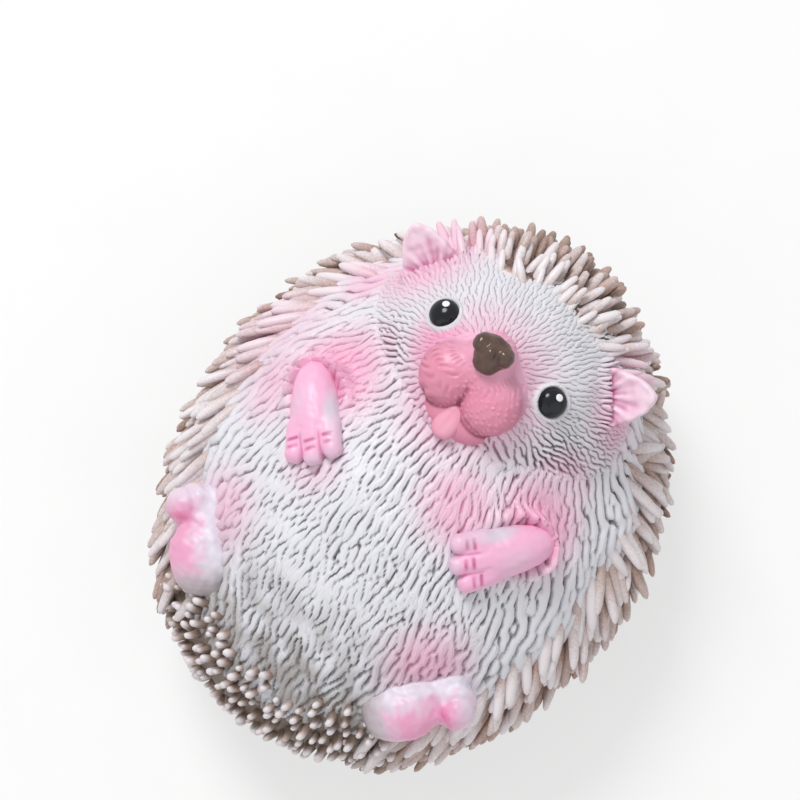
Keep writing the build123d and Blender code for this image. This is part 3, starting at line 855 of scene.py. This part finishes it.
# Ear vinyl: a light pink that pales to the rim, so that the ear looks thin.
ear_vinyl = airbrushed_vinyl(
    "ear_vinyl", groove="CB7AA2", mid_colour="E8AFCC", top="F2C4DB", blush="F4DFEA", gloss=0.4
)
for side, leaf_seat in ear_seats.items():
    local, points, quads = sculpt(leaf_seat, (-7, -3.5, -4), (7, 4.5, ear_length + 1), ear_shape, voxel=0.22)
    # The creases are darkened as painted shade.
    make_piece(
        f"ear_{side}_leaf",
        points,
        quads,
        ear_vinyl,
        "pink_rubber",
        [f"ear_{side}"],
        ridge=np.clip(0.42 + 0.75 * ear_fold(local) + 0.03 * local[:, 2], 0, 1),
        blush=np.clip(0.25 + local[:, 2] / 14 + 0.3 * slow_noise(local, 6, 33), 0, 0.85),
    )

# Front paws. Forearms with three short fingers, cast solid in vinyl and pegged to the chest with their cuffs
# in the fur. They are glossy pink with bluish grey fingertips; the inner edge is bluish grey as painted
# shade, and the creases, the gaps between the fingers and the undersides are darker as painted shade.

# Each finger's place across the knuckles, its place across the tips, and how far it reaches.
fingers = ((-3.5, -3.9, 8.0), (0.0, 0.1, 9.0), (3.5, 3.9, 8.0))
finger_start = 3.4
# Paw vinyl: a clear pink with a low gloss, darker in the creases as painted shade.
paw_vinyl = airbrushed_vinyl(
    "paw_vinyl", groove="C25D8C", mid_colour="E596BD", top="F3B5D5", blush="D2D5DF", gloss=0.38
)


def paw_creases(p):
    """Distance to the two creases across the top of each finger."""
    marks = []
    for near, far, end in fingers:
        for place, rise in ((end - 2.1, 3.03 if near == 0 else 2.75), (end - 0.6, 2.75)):
            side = near + (far - near) * (place - finger_start) / (end - finger_start)
            marks.append(rod(p, (place - 0.2, side - 1.0, rise), (place, side + 0.9, rise), 0.14, 0.14))
    return np.min(marks, axis=0)


def paw_shape(p):
    """Distance to a paw: forearm and palm, fingers side by side, and the gaps and creases taken out."""
    arm = melt(ball(p, (-4.2, 0.2, 0.5), (7.0, 4.2, 4.5)), ball(p, (1.8, 0, 0.2), (7.0, 4.9, 3.8)), 3.0)
    digits = np.full(p.shape[:-1], 9.0)
    for near, far, end in fingers:
        digits = melt(digits, rod(p, (finger_start, near, 0.9), (end, far, 0.6), 2.1, 2.0), 0.15)
    paw = melt(arm, digits, 1.2)
    for side in (1.75, -1.75):
        paw = carve(paw, rod(p, (4.2, side * 0.95, 3.8), (10.5, side * 1.15, 2.4), 0.25, 0.45), 0.6)
    return carve(paw, paw_creases(p), 0.45) - 0.05 * slow_noise(p, 1.7, 39)


for side, paw_seat in (("left", arm_seat), ("right", mirrored(arm_seat))):
    local, points, quads = sculpt(paw_seat, (-14, -8, -6), (14, 8, 7), paw_shape, voxel=0.2)
    tips = ramp(local[:, 0], 8.2, 2.6)
    # The inner edge is turned bluish grey as painted shade.
    edge = ramp(-local[:, 1], 2.4, 1.6) * bell(local[:, 0], 1.0, 5.0)
    # The gaps between the fingers, the creases and the undersides are darkened as painted shade.
    gaps = np.min([np.abs(local[:, 1] - line) for line in (1.9, -1.9)], axis=0)
    between = np.clip(1 - gaps / 0.6, 0, 1) * ramp(local[:, 0], 4.0, 1.5)
    creased = np.clip(0.1 + paw_creases(local) * 1.6, 0, 1)
    make_piece(
        f"front_paw_{side}_skin",
        points,
        quads,
        paw_vinyl,
        "pink_rubber",
        [f"front_paw_{side}"],
        ridge=creased * np.clip(0.62 + 0.12 * local[:, 2], 0, 1) * (1 - 0.7 * between),
        blush=np.clip(0.4 * tips + 0.9 * edge + 0.2 * slow_noise(local, 7, 31), 0, 0.85),
    )

# Hind feet. Padded vinyl feet pegged into the haunches with the soles turned outwards, each a heel pad and a
# ball of toes. The soles are sprayed pink and turn deep red in the crease as painted shade, the insteps are
# left pale grey, and the heels are dusted brown.
foot_turn, foot_rise, foot_heading = radians(-48.4), radians(25.5), radians(6)
# Foot vinyl: a warmer pink than the paws, blotched where the spray thins out.
foot_vinyl = airbrushed_vinyl(
    "foot_vinyl", groove="B94A74", mid_colour="DB7FA8", top="E9A3C4", blush="E0DDE8", gloss=0.4
)


def foot_crease(p):
    """Distance to the crease between the heel pad and the toes."""
    middle = (4.9, 1.0, 8.6)
    one_end, other_end = (4.5, 4.6, 3.4), (5.0, -4.0, 7.4)
    return np.minimum(rod(p, middle, one_end, 0.5, 0.25), rod(p, middle, other_end, 0.5, 0.3))


def foot_shape(p):
    """Distance to a foot: heel pad, three toes run together, and the crease taken out."""
    heel = melt(ball(p, (-2.6, -0.2, 0.8), (7.8, 5.2, 6.5)), ball(p, (-0.6, 1.8, -1.6), (8.6, 4.0, 5.6)), 3.0)
    toes = melt(ball(p, (7.7, -0.5, 4.7), (3.4, 3.6, 2.7)), ball(p, (8.7, 0.2, 2.0), (3.5, 3.8, 2.4)), 0.9)
    toes = melt(toes, ball(p, (8.2, 1.0, -0.8), (3.5, 3.9, 2.6)), 0.9)
    foot = carve(melt(heel, toes, 2.4), foot_crease(p), 0.8)
    return foot - 0.14 * slow_noise(p, 3.5, 36) - 0.07 * slow_noise(p, 1.5, 37)


foot_seat = seat_on(body, foot_turn, foot_rise, foot_heading)
for side, sole_seat in (("left", foot_seat), ("right", mirrored(foot_seat))):
    local, points, quads = sculpt(sole_seat, (-13, -8, -8), (14, 9, 9), foot_shape, voxel=0.24)
    rough = 0.9 * slow_noise(local, 5, 35) + 0.8 * slow_noise(local, 1.8, 38)
    instep = ramp(4.6 - local[:, 2] + 0.3 * local[:, 1] + rough, 0, 4.0)
    instep = np.maximum(instep, ramp(-3.0 - local[:, 0] + 0.6 * rough, 0, 6, 0.9))
    instep = np.maximum(instep, ramp(local[:, 0] - 6.0 + 0.5 * rough, 0, 5, 0.75))
    # The crease is darkened as painted shade.
    make_piece(
        f"hind_foot_{side}_skin",
        points,
        quads,
        foot_vinyl,
        "pink_rubber",
        [f"hind_foot_{side}"],
        ridge=np.clip(0.05 + foot_crease(local) * 0.45, 0, 0.8),
        blush=instep * np.clip(foot_crease(local) * 0.6, 0, 1),
        dust=ramp(-4.4 - local[:, 0] + 0.6 * rough, 0, 8, 0.7),
    )

# Spine coat. The back and sides of the vinyl skin, cast with rows of soft blunt spines that are combed away
# from the face and towards the tail, with short upright studs on the rump. It is moulded in brown and dusted
# pale from the belly side.

# Gap between rows and gap along a row, then length and radius, of spines and of studs.
spine_gaps, stud_gaps = (3.3, 3.0), (3.1, 3.1)
spine_size, stud_size = (9.8, 1.22), (3.8, 0.95)
spine_highest, spine_lowest = radians(25), radians(-46)
row_radius = 45
spine_sunk, stud_sunk = 1.5, 1.6
stud_top = 46
clear_of_head, clear_of_ear, clear_of_foot = 1.5, 4.6, 8.2
sheet_columns, sheet_rows = 50, 70
sheet_lowest, sheet_highest = radians(-50), radians(34)
face_point = np.array([0.0, 22.0, 62.0])
# Where each panel of the coat starts and ends, in degrees round the body from its left side.
spine_panels = {
    "rump": (-115, -65),
    "left_haunch": (-65, -22),
    "left_flank": (-22, 18),
    "left_shoulder": (18, 65),
    "nape": (65, 115),
    "right_shoulder": (115, 162),
    "right_flank": (162, 202),
    "right_haunch": (202, 245),
}
# Places along a spine, with the girth of spines and of studs there.
rod_shares = np.array([0.0, 0.3, 0.6, 0.83, 0.95, 1.0])
spine_girths = np.array([0.78, 1.02, 1.0, 0.85, 0.6, 0.2])
stud_girths = np.array([1.3, 1.15, 0.9, 0.85, 0.66, 0.24])
rod_sides = 7


def spine_rods(roots, aims, bends, lengths, radii, low_tones, high_tones, studs):
    """Points and faces of blunt rods that leave their roots along the aims and then bend, with a tone for
    each point. Spines pale evenly to their tips, and studs are cones with a pale tip alone."""
    across = unit(np.cross(aims, bends))
    over = np.cross(across, aims)
    share = rod_shares[None, :, None]
    line = roots[:, None] + lengths[:, None, None] * (aims[:, None] * share + bends[:, None] * 0.2 * share**2)
    turns = np.linspace(0, 2 * pi, rod_sides, endpoint=False)[:, None]
    rim = np.cos(turns) * across[:, None] + 0.9 * np.sin(turns) * over[:, None]
    girths = radii[:, None] * (spine_girths + (stud_girths - spine_girths) * studs[:, None])
    points = line[:, :, None] + girths[:, :, None, None] * rim[:, None]
    rings = len(rod_shares)
    first = np.arange(len(roots))[:, None, None] * rings * rod_sides
    ring, side = np.meshgrid(np.arange(rings - 1) * rod_sides, np.arange(rod_sides), indexing="ij")
    after = (side + 1) % rod_sides
    corners = np.stack([ring + side, ring + after, ring + rod_sides + after, ring + rod_sides + side], -1)
    walls = (first[..., None] + corners).reshape(-1, 4)
    caps = first[:, 0] + (rings - 1) * rod_sides + np.arange(rod_sides)
    paling = rod_shares ** (1.2 + 0.9 * studs[:, None])
    tones = low_tones[:, None] + (high_tones - low_tones)[:, None] * paling
    return points.reshape(-1, 3), walls.tolist() + caps.tolist(), np.repeat(tones.ravel(), rod_sides)


def patch_faces(columns, rows):
    """Quads of an open sheet laid out in columns."""
    i, j = np.meshgrid(np.arange(columns - 1), np.arange(rows - 1), indexing="ij")
    corners = np.stack([i * rows + j, (i + 1) * rows + j, (i + 1) * rows + j + 1, i * rows + j + 1], -1)
    return corners.reshape(-1, 4)


def moved_on(faces, count):
    """The same faces once so many points stand before theirs."""
    return [[corner + count for corner in face] for face in faces]


def along_surface(vector, normal):
    """Direction of a vector once what stands off the surface is taken out."""
    return unit(vector - (vector @ normal) * normal)


# Spine vinyl: the same soft PVC in brown, dry-brushed pale on what stands proud and misted pink by the paws.
spine_vinyl = airbrushed_vinyl(
    "spine_vinyl",
    groove="3B2317",
    mid_colour="B4978B",
    top="EAE3E6",
    blush="F2A9CB",
    gloss=0.4,
    grain_height=0.09,
    mottle=0.35,
)

chance = np.random.default_rng(41)
spines = []
foot_middles = [shifted(sole, [1.5, 0, 2.0]).centre for sole in (foot_seat, mirrored(foot_seat))]
ear_middles = [leaf.centre for leaf in ear_seats.values()]


def coat_places(row_gap, gap):
    """Roots of one set of rows round the body, staggered and jittered, with the normals there."""
    for row, rise in enumerate(np.arange(spine_highest, spine_lowest, -row_gap / row_radius)):
        count = int(pi * cos(rise) * (body.half[0] + body.half[1]) / gap)
        for place in range(count):
            turn = 2 * pi * (place + 0.5 * (row % 2) + chance.uniform(-0.25, 0.25)) / count
            high = rise + chance.uniform(-0.3, 0.3) * row_gap / row_radius
            root, normal = on_form(body, bearing(turn, high))
            ear_gap = min(np.linalg.norm(root - ear) for ear in ear_middles)
            foot_gap = min(np.linalg.norm(root - foot) for foot in foot_middles)
            if outside(head, root) > clear_of_head and ear_gap > clear_of_ear and foot_gap > clear_of_foot:
                yield root, normal


for root, normal in coat_places(*spine_gaps):
    if rump_share(root) > 0.5:
        continue
    # Combed away from the face, further back towards the tail, and most of all on the right side.
    away = unit((root - face_point) * [1, 1, 0])
    right_side = ramp(-root[0], 0, 30)
    tailward = 0.55 * ramp(root[1], 22, -25) + 0.8 * right_side * ramp(root[1], 40, -25)
    away = away + [0, -tailward, -0.35]
    flow = along_surface(away + 0.22 * chance.normal(size=3), normal)
    lean = radians(60 + 8 * ramp(root[2], 40, 8)) + 0.1 * chance.normal()
    aim = normal * cos(lean) + flow * sin(lean)
    length = spine_size[0] * chance.uniform(0.86, 1.14)
    radius = spine_size[1] * chance.uniform(0.88, 1.15)
    root = root + normal * (coat_height(root) - spine_sunk)
    # The lowest spines run level, clear of the floor.
    bend = flow if root[2] + aim[2] * length > 4 else unit(flow * [1, 1, 0])
    climb = max(aim[2], (radius + 0.8 - root[2]) / length)
    aim = unit(aim * [1, 1, 0]) * (1 - climb**2) ** 0.5 + np.array([0, 0, climb])
    # Paler the nearer they stand to the belly, and a little darker on the right side as painted shade. Their
    # dark brown roots are partly their own colour and partly painted shade between the spines.
    pale = np.clip((root[2] - 20) / 26 - 0.08 * ramp(-root[0], 0, 35), 0, 1)
    low_tone = np.clip(0.06 + 0.46 * pale**1.2 + 0.09 * chance.normal(), 0, 1)
    high_tone = np.clip(0.28 + 0.62 * pale**1.2 + 0.1 * chance.normal(), 0, 1)
    spines.append((root, aim, bend, length, radius, low_tone, high_tone, 0.0))
for root, normal in coat_places(*stud_gaps):
    if rump_share(root) <= 0.5 or root[2] > stud_top:
        continue
    aim = unit(normal + np.array([0, 0, 0.5]) + 0.18 * chance.normal(size=3))
    size = chance.uniform(0.8, 1.2)
    root = root + normal * (coat_height(root) - stud_sunk)
    low_tone = np.clip(0.1 + 0.07 * chance.normal(), 0, 1)
    high_tone = np.clip(0.95 + 0.15 * chance.normal(), 0, 1)
    bend = unit(np.cross(normal, [0.3, 0.2, 1]))
    length, radius = size * stud_size[0], size * stud_size[1]
    spines.append((root, aim, bend, length, radius, low_tone, high_tone, 1.0))
spines = [np.array(column) for column in zip(*spines)]
coat_start = spine_panels["rump"][0]
spine_turns = (np.degrees(np.arctan2(spines[0][:, 1], spines[0][:, 0])) - coat_start) % 360 + coat_start
for panel, (first, last) in spine_panels.items():
    chosen = (spine_turns >= first) & (spine_turns < last)
    rods, faces, tones = spine_rods(*(column[chosen] for column in spines))
    turns = np.radians(np.linspace(first, last, sheet_columns))
    rises = np.linspace(sheet_lowest, sheet_highest, sheet_rows)
    turns, rises = np.meshgrid(turns, rises, indexing="ij")
    turns = np.arctan2(np.sin(turns) * body.half[0], np.cos(turns) * body.half[1])
    sheet, outward = on_form(
        body, np.stack([np.cos(rises) * np.cos(turns), np.cos(rises) * np.sin(turns), np.sin(rises)], -1)
    )
    lift = coat_height(sheet) - 0.6 + 0.25 * slow_noise(sheet, 3, 42)
    sheet = (sheet + outward * lift[..., None]).reshape(-1, 3)
    points = np.concatenate([sheet, rods])
    # The skin between the spines is a dark brown of its own that also serves as painted shade in the gaps.
    tones = np.concatenate([0.08 + 0.04 * rump_share(sheet) + 0.08 * slow_noise(sheet, 2.5, 44), tones])
    make_piece(
        f"{panel}_coat",
        points,
        patch_faces(sheet_columns, sheet_rows).tolist() + moved_on(faces, len(sheet)),
        spine_vinyl,
        "spine_rubber",
        [f"{panel}_spines"],
        ridge=tones,
        blush=0.8 * near_spots(points, blush_spots),
        dust=0.65 * rump_share(points) * (1 - tones).clip(0, 1),
    )

# Crown. A vinyl cap over the back of the head, cast with close rows of thinner spines that stand up round the
# forehead. The front rows are sprayed white with the face, the rows behind them are left brown.
crown_gap = 2.3
crown_size = (6.2, 0.95)
crown_reach = radians(57)
crown_lift = 1.2
crown_tip = np.array([0.0, 19.0, 74.0])
crown_radius_along, crown_radius_round = 24, 25
crown_start, cap_start = 0.05, 0.02
cap_rays, cap_rings = 120, 60


def crown_edge(rise):
    """How far the cap reaches from the back of the head: further beside the ears than over the forehead."""
    return crown_reach + radians(10) * bell(rise, radians(35), radians(22))


spines = []
for row, spread in enumerate(np.arange(crown_reach, crown_start, -crown_gap / crown_radius_along)):
    count = int(2 * pi * crown_radius_round * sin(spread) / crown_gap)
    for place in range(count):
        turn = 2 * pi * (place + 0.5 * (row % 2) + chance.uniform(-0.2, 0.2)) / count
        reach = crown_edge(np.arctan2(sin(turn), abs(cos(turn))))
        wide = spread * reach / crown_reach + chance.uniform(-0.3, 0.3) * crown_gap / crown_radius_along
        root, normal = on_form(head, np.array([sin(wide) * cos(turn), cos(wide), sin(wide) * sin(turn)]))
        ear_gap = min(np.linalg.norm(root - ear) for ear in ear_middles)
        if outside(body, root) < 1.0 or ear_gap < 4.0:
            continue
        flow = along_surface(root - crown_tip + 3.5 * chance.normal(size=3), normal)
        lean = radians(60 - 4 * min(row, 5)) + 0.17 * chance.normal()
        tone = np.clip(1.05 - 0.12 * row + 0.12 * chance.normal(), 0.32, 1)
        size = chance.uniform(0.88, 1.14) * min(1, 0.84 + 0.08 * row)
        aim = normal * cos(lean) + flow * sin(lean)
        length = size * crown_size[0] * (1 + 0.5 * bell(ear_gap, 6, 4))
        radius = size * crown_size[1]
        sunk = 1.3 - crown_lift * (1 - min(wide / reach, 1))
        spines.append((root - normal * sunk, aim, flow, length, radius, tone * 0.55, tone, 0.0))
rods, faces, tones = spine_rods(*(np.array(column) for column in zip(*spines)))
spoke_turns = np.linspace(0, 2 * pi, cap_rays, endpoint=False)
cap_reach = crown_edge(np.arctan2(np.cos(spoke_turns), np.abs(np.sin(spoke_turns))))
directions, _ = polar_sheet((0, 1, 0), cap_reach, cap_start, cap_rings)
sheet, outward = on_form(head, directions)
lift = np.linspace(crown_lift, -0.3, cap_rings) + 0.15 * slow_noise(sheet, 3, 43)
# The edge of the cap is tucked in under the fur of the head.
lift[:, -1] = -1.5
sheet = (sheet + outward * lift[..., None]).reshape(-1, 3)
points = np.concatenate([sheet, rods])
sheet_tones = np.tile(np.linspace(-6.0, 0.8, cap_rings).clip(0.1, 0.7), cap_rays)
make_piece(
    "crown_coat",
    points,
    ring_faces(cap_rays, cap_rings).tolist() + moved_on(faces, len(sheet)),
    spine_vinyl,
    "spine_rubber",
    ["crown_spines"],
    ridge=np.concatenate([sheet_tones, tones]),
    blush=0.8 * near_spots(points, blush_spots),
)

# Back. The figure's flat resting face, an oval pad of thicker brown vinyl bonded into the skin round its
# edge, with a shallow pebbled moulding that keeps it from sliding.
pad_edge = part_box("back_base")[1][2] / mm
plug_radius = 6.6
pad_rays, flat_rings, rim_rings = 240, 80, 16
pad_clearance = 0.03
pebble_height, pebble_top = 0.25, 0.6
turns = np.linspace(0, 2 * pi, pad_rays, endpoint=False)[:, None]
lift = np.concatenate([np.zeros(flat_rings), np.linspace(0, pad_edge, rim_rings + 1)[1:]])
spread = (1 - ((body.centre[2] - lift) / body.half[2]) ** 2) ** 0.5
inward = np.concatenate([np.linspace(1, 0, flat_rings), np.zeros(rim_rings)])
radius_x, radius_y = (plug_radius * inward + half * spread * (1 - inward) for half in body.half[:2])
points = np.stack([np.cos(turns) * radius_x, np.sin(turns) * radius_y, np.ones_like(turns) * lift], -1)
pebbles = np.maximum(slow_noise(points, 2.2, 51), 0) * (inward > 0.03)
points[..., 2] += pad_clearance + pebble_height * (pebble_top - np.minimum(pebbles, pebble_top)) * (lift == 0)
# Base vinyl: plain brown PVC with the dull skin that the mould left, unsprayed.
base_vinyl = airbrushed_vinyl(
    "base_vinyl", groove="5E4A3F", mid_colour="7C685D", top="8C7A70", blush="8C7A70", gloss=0.5
)
# The pebbles are lighter where they stand proud, as painted light.
make_piece(
    "back_pad",
    points,
    ring_faces(pad_rays, flat_rings + rim_rings),
    base_vinyl,
    "base_rubber",
    ["back_base"],
    ridge=np.clip(0.3 + pebbles, 0, 1),
)

# Plug. A pressed-in button of the same vinyl that closes the hole through which the figure was filled.
# It stops a little short of the flat of the back, so that the pad alone carries the figure.
plug_rays = 64
plug_seat = Form(np.array([0.0, 0.0, 0.0]), np.ones(3), np.diag([1.0, -1.0, -1.0]))
plug_profile = [(0.2, -0.9), (3.6, -0.9), (4.2, -0.5), (5.2, -0.2), (6.0, -0.25), (6.4, -0.6), (6.5, -2.4)]
# The raised ring is lighter and the recess and the rim darker, as painted light and shade.
plug_tones = [0.35, 0.35, 0.2, 0.6, 0.6, 0.4, 0.2]
points, quads = lathe(plug_seat, *zip(*plug_profile), plug_rays)
make_piece(
    "filling_button",
    points,
    quads,
    base_vinyl,
    "base_rubber",
    ["filling_plug"],
    ridge=np.broadcast_to(plug_tones, (plug_rays, len(plug_profile))),
)

# Filling. A soft foamed core that gives the figure its squeeze; the skin hides it, so its plain solid stays.
# Foam: open cells about half a millimetre wide, cream coloured and quite matt, darker in each cell's pit as
# painted shade.
foam_cell, cell_depth = 0.6 * mm, 0.3 * mm
foam, tree = new_material("foam")
place = add_node(tree, "ShaderNodeTexCoord").outputs["Object"]
cells = add_node(tree, "ShaderNodeTexVoronoi", {"Vector": place, "Scale": 1 / foam_cell}).outputs["Distance"]
tint = add_node(
    tree, "ShaderNodeMix", {0: cells, 6: paint("D8CDB4"), 7: paint("F0E8D6")}, data_type="RGBA"
)
dent = add_node(tree, "ShaderNodeBump", {"Height": cells, "Strength": 0.6, "Distance": cell_depth})
core = add_node(
    tree,
    "ShaderNodeBsdfPrincipled",
    {"Base Color": tint.outputs[2], "Roughness": 0.9, "IOR": 1.45, "Normal": dent.outputs[0]},
)
add_node(tree, "ShaderNodeOutputMaterial", {"Surface": core.outputs[0]})
filling_mesh = bpy.data.objects["filling"].data
filling_mesh.materials.clear()
filling_mesh.materials.append(foam)
